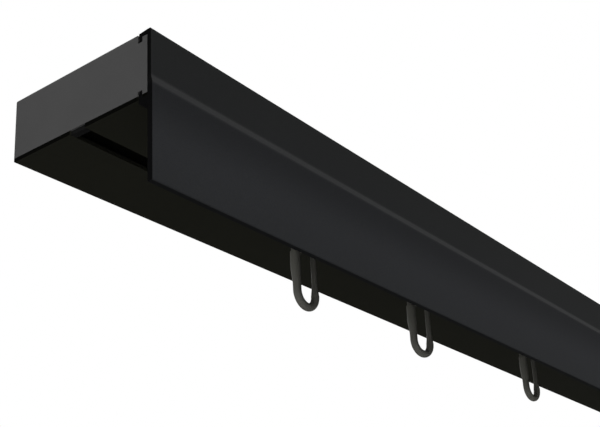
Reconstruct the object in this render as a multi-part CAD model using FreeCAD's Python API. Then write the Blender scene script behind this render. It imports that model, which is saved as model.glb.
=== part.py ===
import FreeCAD, Part
import math
import os

# Ceiling curtain track with a clip-on fascia, sliding gliders and ceiling clips.
# Millimetres. X runs along the track, +Y points to the wall behind, +Z points up.
# The origin lies on the ceiling, midway between the two ceiling screws, over the glider slot.

# Track body
track_length = 600.0
body_depth = 54.0
body_height = 20.0
wall = 1.5
bottom_wall = 1.3
edge_round = 0.4

# Glider channel and the slot in its floor
slot_width = 6.0
channel_width = 12.0
channel_height = 9.2

# Groove for the ceiling clips, open to the top
groove_opening = 16.0
groove_width = 24.0
groove_depth = 8.0
groove_lip = 1.5

# Fascia, which hangs in front of the body and clips over it above and below
fascia_thickness = 1.3
fascia_drop = 45.2
fascia_rise = 0.5
fascia_gap = 0.1
step_from_top = 14.6
step_height = 2.0
step_relief = 0.45
arm_thickness = 1.2
arm_reach = 3.2
arm_slope = 0.3
hook_thickness = 1.2
hook_tip = 0.7
hook_depth = 2.4
clip_clearance = 0.1
hook_back_gap = 0.4
lower_arm_thickness = 1.6
lower_arm_below = 1.2

# End caps
cap_thickness = 1.5
lug_length = 8.0
lug_wall = 1.4
lug_clearance = 0.15
tongue_length = 2.0
tongue_setback = 0.4
tongue_clearance = 0.1

# Gliders, with the place of each as a share of the run between the end stops
# and the turn of each loop in degrees
glider_shares = (0.077, 0.237, 0.442, 0.665, 0.82, 0.965)
loop_turns = (0.0, -7.0, -2.0, 6.0, -8.0, 4.0)
head_length = 10.0
head_thickness = 2.2
head_corner = 1.5
head_crown_width = 6.4
head_crown_height = 2.0
head_side_gap = 0.4
head_lift = 0.25
neck_length = 7.0
neck_side_gap = 0.4
collar_diameter = 7.6
collar_thickness = 0.8
collar_gap = 0.3
stem_diameter = 4.0
stem_clearance = 0.05
stem_end_gap = 0.1
button_diameter = 6.2
button_height = 0.9

# Swivelling loops
boss_diameter = 7.6
bridge_height = 2.0
wire_diameter = 2.9
thin_leg_diameter = 1.9
thin_leg_taper = 4.0
leg_spacing = 10.0
loop_hang = 26.2
catch_diameter = 3.5
catch_offset = 0.25
catch_height = 7.0
catch_drop = 5.6
catch_taper = 4.6
catch_round = 0.8

# End stops
stop_length = 12.0
stop_height = 6.0
stop_corner = 1.0
stop_from_end = 60.0
stop_side_gap = 0.3
stop_screw_diameter = 4.0
stop_screw_clearance = 0.05
stop_screw_inset = 0.3
hex_across_flats = 2.0
hex_depth = 2.0

# Ceiling clips
clip_from_end = 100.0
plate_length = 54.0
plate_width = 24.0
plate_thickness = 2.0
plate_corner = 4.0
ceiling_hole_diameter = 4.5
ceiling_hole_from_end = 13.0
rivet_from_end = 15.0
tab_length = 10.0
tab_thickness = 1.5
tab_drop = 3.2
tab_clearance = 0.3
latch_width = 13.0
latch_thickness = 2.0
latch_end_gap = 0.5
latch_gap = 0.3
latch_tab_drop = 2.6
latch_tab_thickness = 1.5
latch_tab_width = 6.5
latch_tab_inset = 1.5
rivet_shank = 5.0
rivet_clearance = 0.05
rivet_shoulder = 8.0
rivet_head = 8.0
rivet_head_height = 1.3
rivet_head_round = 0.65
rivet_end_gap = 0.1

# Heights and edges that follow from the sizes above
body_top = -plate_thickness
body_bottom = body_top - body_height
channel_floor = body_bottom + bottom_wall
channel_roof = channel_floor + channel_height
groove_floor = body_top - groove_depth
front_face = -body_depth / 2
back_face = body_depth / 2
left_end = -track_length / 2
right_end = track_length / 2
hook_back = front_face - fascia_gap + arm_reach
hook_front = hook_back - hook_thickness
hook_groove_front = hook_front - clip_clearance
hook_groove_back = hook_back + hook_back_gap
hook_groove_depth = hook_depth + 2 * clip_clearance
arm_top = body_top + fascia_rise
top_recess = arm_thickness + arm_slope - fascia_rise + clip_clearance
lower_arm_bottom = body_bottom - lower_arm_below
lower_arm_top = lower_arm_bottom + lower_arm_thickness
bottom_recess = lower_arm_top + clip_clearance - body_bottom


def prism(points, start, length):
    """Solid along X with the section given as (y, z) points."""
    corners = [FreeCAD.Vector(start, y, z) for y, z in points]
    face = Part.Face(Part.makePolygon(corners + corners[:1]))
    return face.extrude(FreeCAD.Vector(length, 0, 0))


def box(x_range, y_range, z_range):
    size = [high - low for low, high in (x_range, y_range, z_range)]
    corner = FreeCAD.Vector(x_range[0], y_range[0], z_range[0])
    return Part.makeBox(size[0], size[1], size[2], corner)


def cylinder(diameter, x, y, z_low, z_high):
    return Part.makeCylinder(diameter / 2, z_high - z_low, FreeCAD.Vector(x, y, z_low))


def circle(diameter, x, z):
    edge = Part.makeCircle(diameter / 2, FreeCAD.Vector(x, 0, z))
    return Part.Wire(edge)


def upright_edges(shape):
    chosen = []
    for edge in shape.Edges:
        reach = edge.BoundBox
        if reach.XLength < 1e-6 and reach.YLength < 1e-6:
            chosen.append(edge)
    return chosen


def body_outline():
    """Outer section of the body with the seats of the fascia's two hooks."""
    return [
        (front_face, body_top - top_recess),
        (hook_groove_front, body_top - top_recess),
        (hook_groove_front, body_top - hook_groove_depth),
        (hook_groove_back, body_top - hook_groove_depth),
        (hook_groove_back, body_top),
        (back_face, body_top),
        (back_face, body_bottom),
        (hook_groove_back, body_bottom),
        (hook_groove_back, body_bottom + hook_groove_depth),
        (hook_groove_front, body_bottom + hook_groove_depth),
        (hook_groove_front, body_bottom + bottom_recess),
        (front_face, body_bottom + bottom_recess),
    ]


def front_chamber():
    seat_back = hook_groove_back + wall
    seat_height = hook_groove_depth + wall
    return [
        (front_face + wall, body_top - seat_height),
        (seat_back, body_top - seat_height),
        (seat_back, body_top - wall),
        (-groove_width / 2 - wall, body_top - wall),
        (-groove_width / 2 - wall, channel_roof),
        (-channel_width / 2 - wall, channel_roof),
        (-channel_width / 2 - wall, channel_floor),
        (seat_back, channel_floor),
        (seat_back, body_bottom + seat_height),
        (front_face + wall, body_bottom + seat_height),
    ]


def back_chamber():
    return [
        (groove_width / 2 + wall, body_top - wall),
        (back_face - wall, body_top - wall),
        (back_face - wall, channel_floor),
        (channel_width / 2 + wall, channel_floor),
        (channel_width / 2 + wall, channel_roof),
        (groove_width / 2 + wall, channel_roof),
    ]


def long_edges(shape, places):
    """Edges along X that lie at one of the (y, z) places."""
    chosen = []
    for edge in shape.Edges:
        middle = edge.CenterOfMass
        is_long = edge.BoundBox.XLength > 1e-6 and edge.BoundBox.YLength < 1e-6
        at_place = any(math.hypot(middle.y - y, middle.z - z) < 1e-3 for y, z in places)
        if is_long and at_place:
            chosen.append(edge)
    return chosen


def body_blank(start, length):
    blank = prism(body_outline(), start, length)
    back_corners = [(back_face, body_top), (back_face, body_bottom)]
    return blank.makeFillet(edge_round, long_edges(blank, back_corners))


def track_profile():
    """One extrusion, milled back at both ends where the caps sit on its bottom wall."""
    full_length = (left_end, right_end)
    half_opening = groove_opening / 2
    lip_bottom = body_top - groove_lip
    body = body_blank(left_end, track_length)
    voids = [
        prism(front_chamber(), left_end, track_length),
        prism(back_chamber(), left_end, track_length),
        box(full_length, (-groove_width / 2, groove_width / 2), (groove_floor, lip_bottom)),
        box(full_length, (-half_opening, half_opening), (lip_bottom, body_top)),
        box(full_length, (-channel_width / 2, channel_width / 2), (channel_floor, channel_roof)),
        box(full_length, (-slot_width / 2, slot_width / 2), (body_bottom, channel_floor)),
        box((left_end, left_end + cap_thickness), (front_face, back_face), (channel_floor, body_top)),
        box((right_end - cap_thickness, right_end), (front_face, back_face), (channel_floor, body_top)),
    ]
    for void in voids:
        body = body.cut(void)
    return body


def fascia():
    """Front plate with a soft step in its face and an arm above and below, each with a tapered hook."""
    back = front_face - fascia_gap
    front = back - fascia_thickness
    bottom = arm_top - fascia_drop
    step_top = arm_top - step_from_top
    step_bottom = step_top - step_height
    tip_top = body_top - hook_depth
    tip_bottom = body_bottom + hook_depth
    hook_top = arm_top - arm_slope
    tip_back = hook_back - (hook_thickness - hook_tip) / 2
    tip_front = tip_back - hook_tip
    section = [
        (front - step_relief, bottom),
        (front - step_relief, step_bottom),
        (front, step_top),
        (front, arm_top),
        (back, arm_top),
        (hook_back, hook_top),
        (tip_back, tip_top),
        (tip_front, tip_top),
        (hook_front, hook_top - arm_thickness),
        (back, arm_top - arm_thickness),
        (back, lower_arm_top),
        (hook_front, lower_arm_top),
        (tip_front, tip_bottom),
        (tip_back, tip_bottom),
        (hook_back, lower_arm_bottom),
        (back, lower_arm_bottom),
        (back, bottom),
    ]
    plate = prism(section, left_end, track_length)
    soft_places = [
        (front - step_relief, step_bottom),
        (front, step_top),
        (front, arm_top),
        (front - step_relief, bottom),
    ]
    return plate.makeFillet(edge_round, long_edges(plate, soft_places))


def lug(y_range, reach):
    """Plug for one chamber behind the cap: an upright web with a flange above and below."""
    low_y = y_range[0] + lug_clearance
    high_y = y_range[1] - lug_clearance
    low_z = channel_floor + lug_clearance
    high_z = body_top - wall - lug_clearance
    web = box(reach, (low_y, low_y + lug_wall), (low_z, high_z))
    lower = box(reach, (low_y, high_y), (low_z, low_z + lug_wall))
    upper = box(reach, (low_y, high_y), (high_z - lug_wall, high_z))
    return web.fuse([lower, upper])


def slot_tongue(side):
    """Tongue of the cap that closes the open end of the glider slot."""
    outer = side * (track_length / 2 - tongue_setback)
    inner = outer - side * tongue_length
    half_width = slot_width / 2 - tongue_clearance
    reach = (min(outer, inner), max(outer, inner))
    return box(reach, (-half_width, half_width), (body_bottom, channel_floor))


def end_cap(side):
    """Cap on the left (-1) or right (+1) end, flush with the end of the bottom wall."""
    outer_face = side * track_length / 2
    inner_face = outer_face - side * cap_thickness
    start = min(outer_face, inner_face)
    plate = body_blank(start, cap_thickness)
    plate = plate.cut(box((start, start + cap_thickness), (front_face, back_face), (body_bottom, channel_floor)))
    lug_end = inner_face - side * lug_length
    reach = (min(inner_face, lug_end), max(inner_face, lug_end))
    seat_back = hook_groove_back + wall
    plate = plate.fuse(lug((seat_back, -groove_width / 2 - wall), reach))
    plate = plate.fuse(lug((groove_width / 2 + wall, back_face - wall), reach))
    plate = plate.fuse(slot_tongue(side))
    return plate.removeSplitter()


def stop_x(side):
    return side * (track_length / 2 - stop_from_end)


def glider_x(index):
    run_start = stop_x(-1) + stop_length / 2
    run_end = stop_x(1) - stop_length / 2
    return run_start + glider_shares[index] * (run_end - run_start)


def carrier(index):
    """Glider head in the channel with its neck through the slot and a pivot stem below."""
    x = glider_x(index)
    half_length = head_length / 2
    head_half = channel_width / 2 - head_side_gap
    head_bottom = channel_floor + head_lift
    head_top = head_bottom + head_thickness
    head = box((x - half_length, x + half_length), (-head_half, head_half), (head_bottom, head_top))
    head = head.makeFillet(head_corner, upright_edges(head))
    crown = cylinder(head_crown_width, x, 0, head_top, head_top + head_crown_height)
    neck_half = slot_width / 2 - neck_side_gap
    collar_top = body_bottom - collar_gap
    collar_bottom = collar_top - collar_thickness
    neck = box((x - neck_length / 2, x + neck_length / 2), (-neck_half, neck_half), (collar_top, head_bottom))
    collar = cylinder(collar_diameter, x, 0, collar_bottom, collar_top)
    stem_bottom = collar_bottom - bridge_height - 2 * stem_end_gap
    stem = cylinder(stem_diameter, x, 0, stem_bottom, collar_bottom)
    button_base = FreeCAD.Vector(x, 0, stem_bottom)
    down = FreeCAD.Vector(0, 0, -1)
    button = Part.makeCone(button_diameter / 2, stem_diameter / 2, button_height, button_base, down)
    piece = head.fuse([crown, neck, collar, stem, button])
    return piece.removeSplitter()


def loop(index):
    """Moulded loop that swivels on the carrier's stem, with a catch on one leg and a thinner other leg."""
    x = glider_x(index)
    bridge_top = body_bottom - collar_gap - collar_thickness - stem_end_gap
    bridge_bottom = bridge_top - bridge_height
    wire_radius = wire_diameter / 2
    half_spacing = leg_spacing / 2
    leg_top = bridge_top - wire_radius
    bend_centre = body_bottom - loop_hang + wire_radius + half_spacing
    boss = cylinder(boss_diameter, x, 0, bridge_bottom, bridge_top)
    bridge = box((x - half_spacing, x + half_spacing), (-wire_radius, wire_radius), (bridge_bottom, bridge_top))
    piece = boss.fuse(bridge)
    catch_leg = x - half_spacing
    thin_leg = x + half_spacing
    thin_start = bend_centre + thin_leg_taper
    piece = piece.fuse(cylinder(wire_diameter, catch_leg, 0, bend_centre, bridge_top))
    piece = piece.fuse(cylinder(thin_leg_diameter, thin_leg, 0, thin_start, bridge_top))
    wide_end = circle(wire_diameter, thin_leg, bend_centre)
    narrow_end = circle(thin_leg_diameter, thin_leg, thin_start)
    piece = piece.fuse(Part.makeLoft([wide_end, narrow_end], True, True))
    bend_middle = FreeCAD.Vector(x, 0, bend_centre)
    bend = Part.makeTorus(half_spacing, wire_radius, bend_middle, FreeCAD.Vector(0, 1, 0))
    upper = box((x - leg_spacing, x + leg_spacing), (-leg_spacing, leg_spacing), (bend_centre, leg_top))
    piece = piece.fuse(bend.cut(upper))
    catch_top = body_bottom - catch_drop
    catch_low = catch_top - catch_height
    catch_x = catch_leg - catch_offset
    catch = cylinder(catch_diameter, catch_x, 0, catch_low, catch_top)
    top_rim = [edge for edge in catch.Edges if edge.BoundBox.ZMin > catch_top - 1e-6]
    piece = piece.fuse(catch.makeFillet(catch_round, top_rim))
    thick_end = circle(catch_diameter, catch_x, catch_low)
    thin_end = circle(wire_diameter, catch_leg, catch_low - catch_taper)
    piece = piece.fuse(Part.makeLoft([thick_end, thin_end], True, True))
    bore = stem_diameter + 2 * stem_clearance
    piece = piece.cut(cylinder(bore, x, 0, bridge_bottom - wire_radius, bridge_top))
    piece = piece.removeSplitter()
    piece.rotate(FreeCAD.Vector(x, 0, 0), FreeCAD.Vector(0, 0, 1), loop_turns[index])
    return piece


def end_stop(side):
    """Block that keeps the gliders in, standing on the channel floor."""
    x = stop_x(side)
    half_length = stop_length / 2
    half_width = channel_width / 2 - stop_side_gap
    top = channel_floor + stop_height
    block = box((x - half_length, x + half_length), (-half_width, half_width), (channel_floor, top))
    block = block.makeFillet(stop_corner, upright_edges(block))
    return block.cut(cylinder(stop_screw_diameter, x, 0, channel_floor, top))


def stop_screw(side):
    """Grub screw through the block, turned from below and braced on the channel roof."""
    x = stop_x(side)
    bottom = body_bottom + stop_screw_inset
    shank = cylinder(stop_screw_diameter - 2 * stop_screw_clearance, x, 0, bottom, channel_roof)
    corner_radius = hex_across_flats / math.sqrt(3)
    corners = []
    for step in range(6):
        angle = math.radians(60 * step)
        place = (x + corner_radius * math.cos(angle), corner_radius * math.sin(angle), bottom)
        corners.append(FreeCAD.Vector(*place))
    socket = Part.Face(Part.makePolygon(corners + corners[:1])).extrude(FreeCAD.Vector(0, 0, hex_depth))
    return shank.cut(socket)


def hole_x(side):
    return side * (track_length / 2 - clip_from_end)


def plate_start(side):
    """The clips are the same piece turned end for end, so the hole lies at the outer end."""
    outer = hole_x(side) + side * ceiling_hole_from_end
    return min(outer, outer - side * plate_length)


def rivet_x(side):
    return hole_x(side) + side * (ceiling_hole_from_end + rivet_from_end - plate_length)


def clip_plate(side):
    """Pressed plate on the top of the track, with two tabs down into the groove's mouth."""
    start = plate_start(side)
    half_width = plate_width / 2
    plate = box((start, start + plate_length), (-half_width, half_width), (body_top, 0))
    plate = plate.makeFillet(plate_corner, upright_edges(plate))
    tab_face = groove_opening / 2 - tab_clearance
    middle = hole_x(side)
    tab_x = (middle - tab_length / 2, middle + tab_length / 2)
    for edge in (-1, 1):
        tab_y = sorted((edge * tab_face, edge * (tab_face - tab_thickness)))
        plate = plate.fuse(box(tab_x, tab_y, (body_top - tab_drop, body_top)))
    plate = plate.cut(cylinder(ceiling_hole_diameter, middle, 0, body_top, 0))
    plate = plate.cut(cylinder(rivet_shank, rivet_x(side), 0, body_top, 0))
    return plate.removeSplitter()


def latch_top():
    return body_top - groove_lip - latch_gap


def clip_latch(side):
    """Latch that reaches under both lips and lets go when it is turned by a quarter."""
    x = rivet_x(side)
    top = latch_top()
    bottom = top - latch_thickness
    half_length = groove_width / 2 - latch_end_gap
    half_width = latch_width / 2
    blank = cylinder(2 * half_length, x, 0, bottom, top)
    strip = box((x - half_width, x + half_width), (-half_length, half_length), (bottom, top))
    latch = blank.common(strip)
    tab_outer = half_length - latch_tab_inset
    tab_y = (tab_outer - latch_tab_thickness, tab_outer)
    tab_half = latch_tab_width / 2
    tab = box((x - tab_half, x + tab_half), tab_y, (bottom - latch_tab_drop, bottom))
    latch = latch.fuse(tab)
    bore = rivet_shank + 2 * rivet_clearance
    latch = latch.cut(cylinder(bore, x, 0, bottom, top))
    return latch.removeSplitter()


def clip_rivet(side):
    """Shouldered rivet that holds the latch under the plate, flush with the plate's top."""
    x = rivet_x(side)
    shoulder_bottom = latch_top() + rivet_end_gap
    head_top = latch_top() - latch_thickness - rivet_end_gap
    shank = cylinder(rivet_shank, x, 0, head_top, 0)
    shoulder = cylinder(rivet_shoulder, x, 0, shoulder_bottom, body_top)
    head = cylinder(rivet_head, x, 0, head_top - rivet_head_height, head_top)
    rims = [edge for edge in head.Edges if edge.BoundBox.ZLength < 1e-6 and edge.CenterOfMass.z < head_top - 1e-6]
    head = head.makeFillet(rivet_head_round, rims)
    return shank.fuse([shoulder, head]).removeSplitter()


def make_parts():
    pieces = {
        "track_profile": track_profile(),
        "fascia": fascia(),
    }
    for side, word in ((-1, "left"), (1, "right")):
        pieces["end_cap_" + word] = end_cap(side)
        pieces["end_stop_" + word] = end_stop(side)
        pieces["stop_screw_" + word] = stop_screw(side)
        pieces["clip_plate_" + word] = clip_plate(side)
        pieces["clip_latch_" + word] = clip_latch(side)
        pieces["clip_rivet_" + word] = clip_rivet(side)
    for index in range(len(glider_shares)):
        number = str(index + 1)
        pieces["carrier_" + number] = carrier(index)
        pieces["loop_" + number] = loop(index)
    return pieces


os.makedirs("parts", exist_ok=True)
for name, shape in make_parts().items():
    shape.exportStep("parts/" + name + ".step")
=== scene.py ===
import math

import bmesh
import bpy
from mathutils import Matrix, Vector


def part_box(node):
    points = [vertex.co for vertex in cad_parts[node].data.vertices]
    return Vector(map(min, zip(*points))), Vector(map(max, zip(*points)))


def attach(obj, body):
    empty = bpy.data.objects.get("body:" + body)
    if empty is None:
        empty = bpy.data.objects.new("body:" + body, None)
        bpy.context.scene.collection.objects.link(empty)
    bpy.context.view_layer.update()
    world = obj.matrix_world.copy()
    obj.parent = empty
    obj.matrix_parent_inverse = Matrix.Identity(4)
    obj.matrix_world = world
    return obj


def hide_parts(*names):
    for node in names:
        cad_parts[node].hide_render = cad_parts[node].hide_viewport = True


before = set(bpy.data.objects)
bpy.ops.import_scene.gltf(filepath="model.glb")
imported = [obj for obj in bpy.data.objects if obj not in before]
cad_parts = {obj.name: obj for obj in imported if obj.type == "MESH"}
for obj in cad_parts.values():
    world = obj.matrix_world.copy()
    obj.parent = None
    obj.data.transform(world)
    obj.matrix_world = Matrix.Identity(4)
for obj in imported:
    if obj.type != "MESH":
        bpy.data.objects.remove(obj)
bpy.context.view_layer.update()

# Camera below the track and off its left end, looking along it and up. In metres and degrees, with
# the lens and the sensor in millimetres and the shift as a share of the sensor's width
CAMERA_PLACE = (-0.4734, -0.2019, -0.1714)
CAMERA_YAW = 53.34
CAMERA_PITCH = 19.72
CAMERA_ROLL = -2.93
CAMERA_LENS = 64.56
CAMERA_SENSOR = 36.0
CAMERA_SHIFT = 0.1667
CAMERA_CLIP_START = 0.01

# Room, in metres. To the camera, the floor's glow rises with the distance from its middle, over
# FLOOR_FADE, from FLOOR_GLOW to the white of the background, so that no horizon shows
FLOOR_HEIGHT = -1.6
FLOOR_RADIUS = 9.0
FLOOR_SIDES = 64
FLOOR_COLOUR = (0.85, 0.85, 0.85)
FLOOR_ROUGHNESS = 0.9
FLOOR_SPECULAR = 0.1
FLOOR_TONE_SCALE = 3.0
FLOOR_GLOW = 0.42
FLOOR_FADE = (1.0, 3.2)
WORLD_LIGHT = 0.16
BACKGROUND = 1.0
WHITE = (1.0, 1.0, 1.0, 1.0)

# Lamps: name, place and aim, width of the disk, all in metres, and power in watts
LAMPS = (
    ("front_lamp", (-0.5, -1.9, 0.35), (0.0, 0.0, 0.0), 1.6, 24.0),
    ("left_lamp", (-1.9, -0.3, -0.1), (-0.2, 0.0, 0.0), 1.2, 17.5),
    ("back_lamp", (0.8, 1.9, 0.9), (0.0, 0.0, 0.0), 1.6, 22.0),
    ("right_lamp", (1.8, 0.3, 0.7), (0.2, 0.0, 0.0), 1.0, 10.0),
    ("top_lamp", (0.1, -0.6, 1.9), (0.0, 0.0, 0.0), 1.6, 14.0),
)

# Size of the finest surface detail, in metres
COAT_GRAIN = 0.00035
MOULD_GRAIN = 0.0005
BRUSH_GRAIN = 0.00025

# Scales of the coarser noise, per metre, and stretches of the lines along the track
COAT_CLOUD_SCALE = 14.0
DRAW_LINE_SCALE = 900.0
DRAW_LINE_STRETCH = (0.02, 1.0, 1.0)
MOULD_CLOUD_SCALE = 45.0
METAL_CLOUD_SCALE = 160.0
ROLL_LINE_STRETCH = (0.05, 1.0, 1.0)

# Relief of the bump, as a depth in metres and a strength
COAT_GRAIN_DEPTH = 0.00004
COAT_GRAIN_STRENGTH = 0.35
DRAW_LINE_DEPTH = 0.00006
DRAW_LINE_STRENGTH = 0.25
CAP_GRAIN_DEPTH = 0.00004
GLIDER_GRAIN_DEPTH = 0.00002
MOULD_GRAIN_STRENGTH = 0.4
ROLL_LINE_DEPTH = 0.00003
ROLL_LINE_STRENGTH = 0.3

# Refractive index: low where the photo shows next to no gloss, and the usual one of plastic
COAT_IOR = 1.2
CAP_IOR = 1.2
GLIDER_IOR = 1.25
PLASTIC_IOR = 1.45

# Middle part of the noise's values, which spread() turns into a wanted range
NOISE_BAND = (0.3, 0.7)

# How far the noise takes the roughness below and above its own value
COAT_ROUGH_SPREAD = 0.04
MOULD_ROUGH_SPREAD = 0.05
METAL_ROUGH_BELOW = 0.06
METAL_ROUGH_ABOVE = 0.08

# How much darker and lighter than its own colour the noise makes each surface
COAT_CLOUD_TONES = (0.94, 1.06)
COAT_GRAIN_TONES = (0.92, 1.08)
MOULD_CLOUD_TONES = (0.95, 1.05)
MOULD_GRAIN_TONES = (0.96, 1.04)
METAL_CLOUD_TONES = (0.88, 1.08)
FLOOR_TONES = (0.99, 1.01)

# Tongue of the caps, darkened by painted shade: the share of the caps' grey that stays on it, and the height
# of its top above the lowest point of the profile. The painted shade changes over TONGUE_BLEND of a ramp that
# reaches TONGUE_EDGE below and above that height
TONGUE_SHADE = (0.07, 0.07, 0.07)
FULL_COLOUR = (1.0, 1.0, 1.0)
TONGUE_HEIGHT = 0.0012
TONGUE_EDGE = 0.0005
TONGUE_BLEND = (0.48, 0.52)

# Painted shade: the share of the coat's grey left on the sawn ends of the extrusions and on the fascia's
# level faces, and the part of a face's normal along the axis at which the painted shade begins and is full
CUT_END_SHADE = 0.10
LEVEL_FACE_SHADE = 0.34
FACING_BAND = (0.85, 0.95)

# Coat of the fascia by height, from its bottom at 0 to its top at 1, with painted light: the lower part
# painted lighter than the upper, and a painted highlight as the light line of the step
FASCIA_PAINTED_LIGHT = (
    (0.00, (0.0205, 0.0214, 0.0228)),
    (0.25, (0.0215, 0.0224, 0.0242)),
    (0.612, (0.0140, 0.0146, 0.0158)),
    (0.640, (0.0275, 0.0281, 0.0289)),
    (0.668, (0.0275, 0.0281, 0.0286)),
    (0.696, (0.0140, 0.0146, 0.0150)),
    (1.00, (0.0136, 0.0142, 0.0142)),
)

# Grub screws of the end stops, an M4 thread with a hexagon socket, in metres and degrees. The slope
# and the offset of the flank shape the thread between its root and its crest
THREAD_PITCH = 0.0007
THREAD_DEPTH = 0.0004
THREAD_STEPS = 8
FLANK_SLOPE = 1.6
FLANK_OFFSET = 0.3
SCREW_CHAMFER = 0.0005
SOCKET_ACROSS_FLATS = 0.002
SOCKET_DEPTH = 0.002
SOCKET_POINT = 0.0005
HEX_SIDES = 6
SIDE_STEPS = 6
SHARP_ANGLE = 50.0


def new_material(name):
    material = bpy.data.materials.new(name)
    material.use_nodes = True
    nodes = material.node_tree.nodes
    return material, nodes, material.node_tree.links, nodes["Principled BSDF"]


def object_place(nodes, links, scale=(1.0, 1.0, 1.0)):
    """Place on the object, in metres, stretched along the axes by scale."""
    place = nodes.new("ShaderNodeTexCoord")
    stretch = nodes.new("ShaderNodeMapping")
    stretch.inputs["Scale"].default_value = scale
    links.new(place.outputs["Object"], stretch.inputs["Vector"])
    return stretch.outputs["Vector"]


def noise(nodes, links, vector, scale, detail):
    texture = nodes.new("ShaderNodeTexNoise")
    texture.inputs["Scale"].default_value = scale
    texture.inputs["Detail"].default_value = detail
    links.new(vector, texture.inputs["Vector"])
    return texture.outputs["Fac"]


def spread(nodes, links, value, low, high):
    """Value of a noise, spread from low to high."""
    ranged = nodes.new("ShaderNodeMapRange")
    ranged.inputs["From Min"].default_value, ranged.inputs["From Max"].default_value = NOISE_BAND
    ranged.inputs["To Min"].default_value = low
    ranged.inputs["To Max"].default_value = high
    links.new(value, ranged.inputs["Value"])
    return ranged.outputs["Result"]


def tint(nodes, links, colour, strength):
    """Colour, given as a value or a socket, multiplied by a strength socket."""
    product = nodes.new("ShaderNodeMix")
    product.data_type = "RGBA"
    product.blend_type = "MULTIPLY"
    product.inputs["Factor"].default_value = 1.0
    if isinstance(colour, tuple):
        product.inputs["A"].default_value = (*colour, 1.0)
    else:
        links.new(colour, product.inputs["A"])
    links.new(strength, product.inputs["B"])
    return product.outputs["Result"]


def bump(nodes, links, height, distance, strength, under=None):
    relief = nodes.new("ShaderNodeBump")
    relief.inputs["Distance"].default_value = distance
    relief.inputs["Strength"].default_value = strength
    links.new(height, relief.inputs["Height"])
    if under is not None:
        links.new(under, relief.inputs["Normal"])
    return relief.outputs["Normal"]


def height_ramp(nodes, links, low, high, stops):
    """Colour that changes with height between two levels, in metres."""
    place = nodes.new("ShaderNodeTexCoord")
    parts = nodes.new("ShaderNodeSeparateXYZ")
    level = nodes.new("ShaderNodeMapRange")
    level.inputs["From Min"].default_value = low
    level.inputs["From Max"].default_value = high
    ramp = nodes.new("ShaderNodeValToRGB")
    ramp.color_ramp.interpolation = "EASE"
    links.new(place.outputs["Object"], parts.inputs["Vector"])
    links.new(parts.outputs["Z"], level.inputs["Value"])
    links.new(level.outputs["Result"], ramp.inputs["Fac"])
    points = ramp.color_ramp.elements
    while len(points) < len(stops):
        points.new(0.5)
    for point, (where, colour) in zip(points, stops):
        point.position = where
        point.color = (*colour, 1.0)
    return ramp.outputs["Color"]


def facing_shade(nodes, links, axis, dark):
    """1 on most faces, and darker as painted shade on those that face along the axis."""
    surface = nodes.new("ShaderNodeNewGeometry")
    parts = nodes.new("ShaderNodeSeparateXYZ")
    size = nodes.new("ShaderNodeMath")
    size.operation = "ABSOLUTE"
    shade = nodes.new("ShaderNodeMapRange")
    shade.inputs["From Min"].default_value, shade.inputs["From Max"].default_value = FACING_BAND
    shade.inputs["To Min"].default_value = 1.0
    shade.inputs["To Max"].default_value = dark
    links.new(surface.outputs["Normal"], parts.inputs["Vector"])
    links.new(parts.outputs[axis], size.inputs[0])
    links.new(size.outputs["Value"], shade.inputs["Value"])
    return shade.outputs["Result"]


def powder_coat(name, colour, roughness, specular, stops=None):
    """Fine black powder coat with faint draw lines along the track and painted shade on its sawn ends; with
    painted light by height and painted shade on level faces if stops are given.
    """
    material, nodes, links, shader = new_material(name)
    grain = noise(nodes, links, object_place(nodes, links), 1.0 / COAT_GRAIN, 2.0)
    cloud = noise(nodes, links, object_place(nodes, links), COAT_CLOUD_SCALE, 4.0)
    lines = noise(nodes, links, object_place(nodes, links, DRAW_LINE_STRETCH), DRAW_LINE_SCALE, 2.0)
    # Painted light by height: a lighter lower part and a painted highlight at the step
    if stops is not None:
        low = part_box("fascia")[0][2]
        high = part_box("fascia")[1][2]
        colour = height_ramp(nodes, links, low, high, stops)
    base = tint(nodes, links, colour, spread(nodes, links, cloud, *COAT_CLOUD_TONES))
    base = tint(nodes, links, base, spread(nodes, links, grain, *COAT_GRAIN_TONES))
    # Painted shade on the sawn ends
    base = tint(nodes, links, base, facing_shade(nodes, links, "X", CUT_END_SHADE))
    if stops is not None:
        # Painted shade on the fascia's faces that look up or down
        base = tint(nodes, links, base, facing_shade(nodes, links, "Z", LEVEL_FACE_SHADE))
    links.new(base, shader.inputs["Base Color"])
    rough = spread(nodes, links, cloud, roughness - COAT_ROUGH_SPREAD, roughness + COAT_ROUGH_SPREAD)
    links.new(rough, shader.inputs["Roughness"])
    drawn = bump(nodes, links, lines, DRAW_LINE_DEPTH, DRAW_LINE_STRENGTH)
    relief = bump(nodes, links, grain, COAT_GRAIN_DEPTH, COAT_GRAIN_STRENGTH, drawn)
    links.new(relief, shader.inputs["Normal"])
    shader.inputs["Specular IOR Level"].default_value = specular
    shader.inputs["IOR"].default_value = COAT_IOR
    return material


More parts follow.
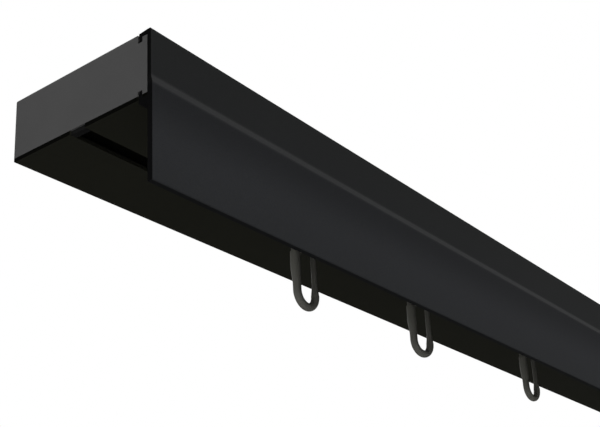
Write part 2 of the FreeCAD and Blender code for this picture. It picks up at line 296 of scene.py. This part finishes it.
def moulded(name, colour, roughness, specular, grain_depth, ior=PLASTIC_IOR, shade_below=None):
    """Moulded plastic with a fine spark-eroded grain, with painted shade below a level if one is given."""
    material, nodes, links, shader = new_material(name)
    grain = noise(nodes, links, object_place(nodes, links), 1.0 / MOULD_GRAIN, 3.0)
    cloud = noise(nodes, links, object_place(nodes, links), MOULD_CLOUD_SCALE, 3.0)
    base = tint(nodes, links, colour, spread(nodes, links, cloud, *MOULD_CLOUD_TONES))
    base = tint(nodes, links, base, spread(nodes, links, grain, *MOULD_GRAIN_TONES))
    # Painted shade on the caps' tongue below the level
    if shade_below is not None:
        black_end, grey_start = TONGUE_BLEND
        stops = ((0.0, TONGUE_SHADE), (black_end, TONGUE_SHADE), (grey_start, FULL_COLOUR))
        shade = height_ramp(nodes, links, shade_below - TONGUE_EDGE, shade_below + TONGUE_EDGE, stops)
        base = tint(nodes, links, base, shade)
    links.new(base, shader.inputs["Base Color"])
    rough = spread(nodes, links, grain, roughness - MOULD_ROUGH_SPREAD, roughness + MOULD_ROUGH_SPREAD)
    links.new(rough, shader.inputs["Roughness"])
    links.new(bump(nodes, links, grain, grain_depth, MOULD_GRAIN_STRENGTH), shader.inputs["Normal"])
    shader.inputs["Specular IOR Level"].default_value = specular
    shader.inputs["IOR"].default_value = ior
    return material


def plated_steel(name, colour, roughness):
    """Steel with a cloudy zinc or black oxide surface and light rolling lines."""
    material, nodes, links, shader = new_material(name)
    cloud = noise(nodes, links, object_place(nodes, links), METAL_CLOUD_SCALE, 5.0)
    lines = noise(nodes, links, object_place(nodes, links, ROLL_LINE_STRETCH), 1.0 / BRUSH_GRAIN, 2.0)
    base = tint(nodes, links, colour, spread(nodes, links, cloud, *METAL_CLOUD_TONES))
    links.new(base, shader.inputs["Base Color"])
    rough = spread(nodes, links, cloud, roughness - METAL_ROUGH_BELOW, roughness + METAL_ROUGH_ABOVE)
    links.new(rough, shader.inputs["Roughness"])
    links.new(bump(nodes, links, lines, ROLL_LINE_DEPTH, ROLL_LINE_STRENGTH), shader.inputs["Normal"])
    shader.inputs["Metallic"].default_value = 1.0
    return material


def dress(material, *starts):
    """Give the material to every node whose name begins with one of the words."""
    for node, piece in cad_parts.items():
        if node.startswith(starts):
            if not piece.material_slots:
                piece.data.materials.append(material)
            for slot in piece.material_slots:
                slot.material = material


def threaded_radius(outer, height, low, high, angle):
    """Radius of the thread at a height and an angle, cut down by the chamfers at both ends."""
    turn = ((height - low) / THREAD_PITCH - angle / (2.0 * math.pi)) % 1.0
    flank = min(1.0, max(0.0, FLANK_SLOPE * abs(2.0 * turn - 1.0) - FLANK_OFFSET))
    radius = outer - THREAD_DEPTH * (1.0 - flank)
    from_end = min(height - low, high - height)
    return min(radius, outer - SCREW_CHAMFER + min(from_end, SCREW_CHAMFER))


def hexagon_radius(angle):
    """Distance from the middle of the socket to its wall in the direction of the angle."""
    side_angle = 2.0 * math.pi / HEX_SIDES
    from_flat = (angle % side_angle) - side_angle / 2.0
    return SOCKET_ACROSS_FLATS / 2.0 / math.cos(from_flat)


def grub_screw(node):
    """Grub screw in the place of its node: a helical thread, chamfered ends and a socket below."""
    low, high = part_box(node)
    middle = Vector(((low[0] + high[0]) / 2.0, (low[1] + high[1]) / 2.0, 0.0))
    outer = (high[0] - low[0]) / 2.0
    bottom, top = low[2], high[2]
    count = HEX_SIDES * SIDE_STEPS
    angles = [2.0 * math.pi * step / count for step in range(count)]
    shape = bmesh.new()

    def ring(radius_at, height):
        corners = (Vector((radius_at(a) * math.cos(a), radius_at(a) * math.sin(a), height)) for a in angles)
        return [shape.verts.new(middle + corner) for corner in corners]

    rings = [ring(hexagon_radius, bottom + SOCKET_DEPTH), ring(hexagon_radius, bottom)]
    levels = round((top - bottom) / THREAD_PITCH * THREAD_STEPS)
    for level in range(levels + 1):
        height = bottom + (top - bottom) * level / levels
        rings.append(ring(lambda a: threaded_radius(outer, height, bottom, top, a), height))
    for inner, outer_ring in zip(rings, rings[1:]):
        for step in range(count):
            after = (step + 1) % count
            shape.faces.new((inner[step], inner[after], outer_ring[after], outer_ring[step]))
    point = shape.verts.new(middle + Vector((0.0, 0.0, bottom + SOCKET_DEPTH + SOCKET_POINT)))
    crown = shape.verts.new(middle + Vector((0.0, 0.0, top)))
    for step in range(count):
        after = (step + 1) % count
        shape.faces.new((rings[0][after], rings[0][step], point))
        shape.faces.new((rings[-1][step], rings[-1][after], crown))
    bmesh.ops.recalc_face_normals(shape, faces=shape.faces)
    mesh = bpy.data.meshes.new(node + "_threaded")
    shape.to_mesh(mesh)
    shape.free()
    mesh.polygons.foreach_set("use_smooth", [True] * len(mesh.polygons))
    mesh.set_sharp_from_angle(angle=math.radians(SHARP_ANGLE))
    screw = bpy.data.objects.new(node + "_threaded", mesh)
    bpy.context.scene.collection.objects.link(screw)
    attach(screw, "track")
    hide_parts(node)
    return screw


def fit_screws():
    oxide = plated_steel("black_oxide", (0.09, 0.09, 0.094), roughness=0.42)
    for node in ("stop_screw_left", "stop_screw_right"):
        grub_screw(node).data.materials.append(oxide)
        dress(oxide, node)


def dress_track():
    fascia_coat = powder_coat("fascia_coat", None, roughness=0.65, specular=0.05, stops=FASCIA_PAINTED_LIGHT)
    profile_coat = powder_coat("profile_coat", (0.0150, 0.0152, 0.0115), roughness=0.65, specular=0.02)
    cap_grey = moulded(
        "cap_grey", (0.066, 0.066, 0.066), roughness=0.6, specular=0.1, grain_depth=CAP_GRAIN_DEPTH,
        ior=CAP_IOR, shade_below=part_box("track_profile")[0][2] + TONGUE_HEIGHT,
    )
    glider_black = moulded(
        "glider_black", (0.097, 0.096, 0.085), roughness=0.6, specular=0.15,
        grain_depth=GLIDER_GRAIN_DEPTH, ior=GLIDER_IOR,
    )
    stop_black = moulded(
        "stop_black", (0.012, 0.012, 0.012), roughness=0.5, specular=0.2, grain_depth=GLIDER_GRAIN_DEPTH,
    )
    dress(fascia_coat, "fascia")
    dress(profile_coat, "track_profile")
    dress(cap_grey, "end_cap")
    dress(glider_black, "carrier", "loop")
    dress(stop_black, "end_stop")
    dress(plated_steel("zinc_plate", (0.34, 0.35, 0.36), roughness=0.42), "clip_plate", "clip_latch")
    dress(plated_steel("zinc_turned", (0.30, 0.30, 0.29), roughness=0.34), "clip_rivet")


def add_camera():
    yaw, pitch, roll = (math.radians(angle) for angle in (CAMERA_YAW, CAMERA_PITCH, CAMERA_ROLL))
    forward = Vector((math.sin(yaw) * math.cos(pitch), math.cos(yaw) * math.cos(pitch), math.sin(pitch)))
    level = Vector((math.cos(yaw), -math.sin(yaw), 0.0))
    rise = level.cross(forward)
    right = math.cos(roll) * level + math.sin(roll) * rise
    up = -math.sin(roll) * level + math.cos(roll) * rise
    data = bpy.data.cameras.new("photo_camera")
    data.lens = CAMERA_LENS
    data.sensor_width = CAMERA_SENSOR
    data.shift_y = CAMERA_SHIFT
    data.clip_start = CAMERA_CLIP_START
    camera = bpy.data.objects.new("photo_camera", data)
    turn = Matrix((right, up, -forward)).transposed()
    camera.matrix_world = Matrix.Translation(CAMERA_PLACE) @ turn.to_4x4()
    bpy.context.scene.collection.objects.link(camera)
    bpy.context.scene.camera = camera


def add_lamp(name, place, aim, width, power):
    data = bpy.data.lights.new(name, "AREA")
    data.shape = "DISK"
    data.size = width
    data.energy = power
    lamp = bpy.data.objects.new(name, data)
    lamp.location = place
    lamp.rotation_euler = (Vector(aim) - Vector(place)).to_track_quat("-Z", "Y").to_euler()
    bpy.context.scene.collection.objects.link(lamp)


def add_world():
    world = bpy.data.worlds.new("studio")
    world.use_nodes = True
    nodes = world.node_tree.nodes
    links = world.node_tree.links
    plain = nodes["Background"]
    plain.inputs["Color"].default_value = WHITE
    plain.inputs["Strength"].default_value = WORLD_LIGHT
    seen = nodes.new("ShaderNodeBackground")
    seen.inputs["Color"].default_value = WHITE
    seen.inputs["Strength"].default_value = BACKGROUND
    rays = nodes.new("ShaderNodeLightPath")
    seen_by = rays.outputs["Is Camera Ray"]
    for kind in ("Is Glossy Ray", "Is Transmission Ray"):
        either = nodes.new("ShaderNodeMath")
        either.operation = "MAXIMUM"
        links.new(seen_by, either.inputs[0])
        links.new(rays.outputs[kind], either.inputs[1])
        seen_by = either.outputs["Value"]
    mix = nodes.new("ShaderNodeMixShader")
    links.new(seen_by, mix.inputs["Fac"])
    links.new(plain.outputs["Background"], mix.inputs[1])
    links.new(seen.outputs["Background"], mix.inputs[2])
    links.new(mix.outputs["Shader"], nodes["World Output"].inputs["Surface"])
    bpy.context.scene.world = world


def add_floor():
    mesh = bpy.data.meshes.new("floor")
    ring = []
    for step in range(FLOOR_SIDES):
        angle = 2.0 * math.pi * step / FLOOR_SIDES
        ring.append((FLOOR_RADIUS * math.cos(angle), FLOOR_RADIUS * math.sin(angle), FLOOR_HEIGHT))
    mesh.from_pydata(ring, [], [tuple(range(FLOOR_SIDES))])
    material, nodes, links, shader = new_material("floor_pale")
    tone = noise(nodes, links, object_place(nodes, links), FLOOR_TONE_SCALE, 2.0)
    pale = tint(nodes, links, FLOOR_COLOUR, spread(nodes, links, tone, *FLOOR_TONES))
    links.new(pale, shader.inputs["Base Color"])
    shader.inputs["Roughness"].default_value = FLOOR_ROUGHNESS
    shader.inputs["Specular IOR Level"].default_value = FLOOR_SPECULAR
    away = nodes.new("ShaderNodeVectorMath")
    away.operation = "LENGTH"
    links.new(object_place(nodes, links, (1.0, 1.0, 0.0)), away.inputs[0])
    fade = nodes.new("ShaderNodeMapRange")
    fade.inputs["From Min"].default_value, fade.inputs["From Max"].default_value = FLOOR_FADE
    fade.inputs["To Min"].default_value = FLOOR_GLOW
    fade.inputs["To Max"].default_value = BACKGROUND
    links.new(away.outputs["Value"], fade.inputs["Value"])
    seen = nodes.new("ShaderNodeLightPath")
    glow = nodes.new("ShaderNodeMath")
    glow.operation = "MULTIPLY"
    links.new(fade.outputs["Result"], glow.inputs[1])
    links.new(seen.outputs["Is Camera Ray"], glow.inputs[0])
    links.new(glow.outputs["Value"], shader.inputs["Emission Strength"])
    shader.inputs["Emission Color"].default_value = WHITE
    mesh.materials.append(material)
    floor = bpy.data.objects.new("floor", mesh)
    bpy.context.scene.collection.objects.link(floor)


add_camera()
add_world()
for lamp in LAMPS:
    add_lamp(*lamp)
add_floor()
dress_track()
fit_screws()
bpy.context.scene.view_settings.view_transform = "Standard"
